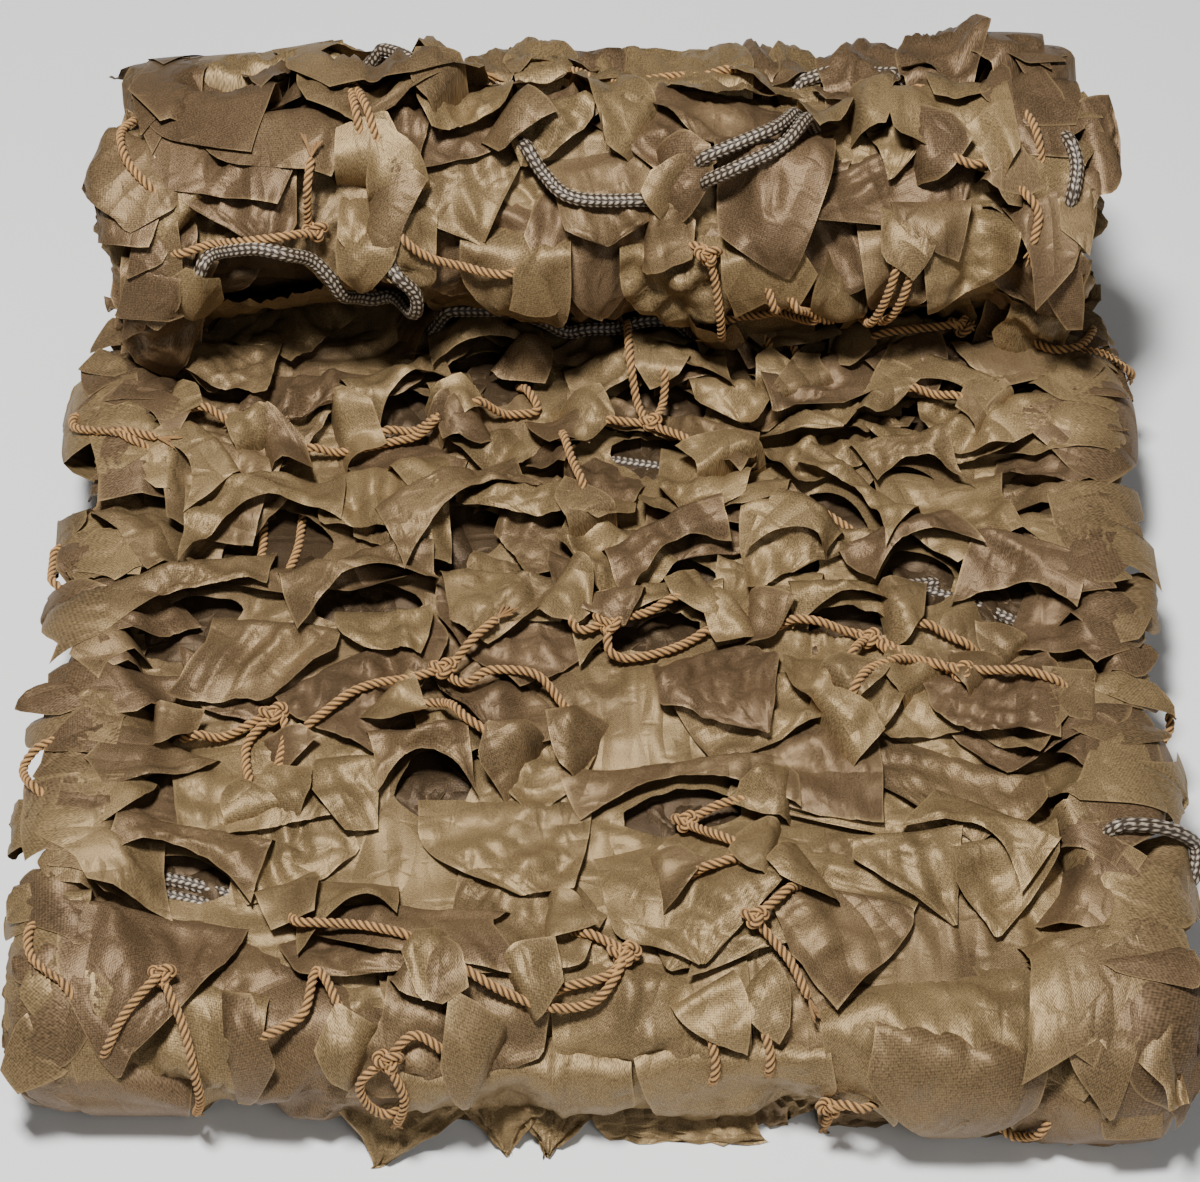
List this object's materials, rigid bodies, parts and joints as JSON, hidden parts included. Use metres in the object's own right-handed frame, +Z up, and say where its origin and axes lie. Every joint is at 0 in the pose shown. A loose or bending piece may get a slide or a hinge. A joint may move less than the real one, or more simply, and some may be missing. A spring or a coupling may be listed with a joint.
{
  "type": "camouflage net",
  "caption": "Camouflage net of leaf-cut cloth with tied strings and a braided border rope, packed as a bundle folded back and forth with its last part rolled up.",
  "frame": {"origin": "middle of the flat underside, on the surface the bundle lies on", "axes": "+Z up; -Y towards the folded front; the roll lies along X at the back, at +Y"},
  "size_m": [0.473, 0.4826, 0.1854],
  "materials": {
    "garnish_cloth": "satin woven cloth, olive tan",
    "net_string": "twisted string, tan",
    "border_rope": "braided rope with a bright thread"
  },
  "bodies": {
    "root": {"garnish_cloth": "garnish_cloth", "rope_crease": "border_rope", "rope_crest": "border_rope", "rope_crest_right": "border_rope", "rope_left_lower": "border_rope", "rope_left_upper": "border_rope", "rope_lens": "border_rope", "rope_middle": "border_rope", "rope_right_mid": "border_rope", "rope_right_upper": "border_rope", "rope_roll_left": "border_rope", "rope_roll_middle": "border_rope", "rope_roll_right": "border_rope", "string_bent": "net_string", "string_big_loop": "net_string", "string_centre": "net_string", "string_centre_low": "net_string", "string_crest": "net_string", "string_crest_left": "net_string", "string_crest_right": "net_string", "string_crevice": "net_string", "string_frayed_left": "net_string", "string_front": "net_string", "string_front_left": "net_string", "string_front_loop": "net_string", "string_left": "net_string", "string_lens": "net_string", "string_long": "net_string", "string_long_left": "net_string", "string_middle": "net_string", "string_opening_left": "net_string", "string_opening_right": "net_string", "string_right_high": "net_string", "string_right_loop": "net_string", "string_right_low": "net_string", "string_roll_bow": "net_string", "string_roll_cross": "net_string", "string_roll_down": "net_string", "string_roll_left": "net_string", "string_roll_pair": "net_string", "string_roll_ring": "net_string", "string_roll_tie": "net_string", "string_round_leaf": "net_string", "string_slant": "net_string", "string_slit": "net_string", "string_slit_right": "net_string", "string_vee": "net_string"}
  },
  "joints": []
}
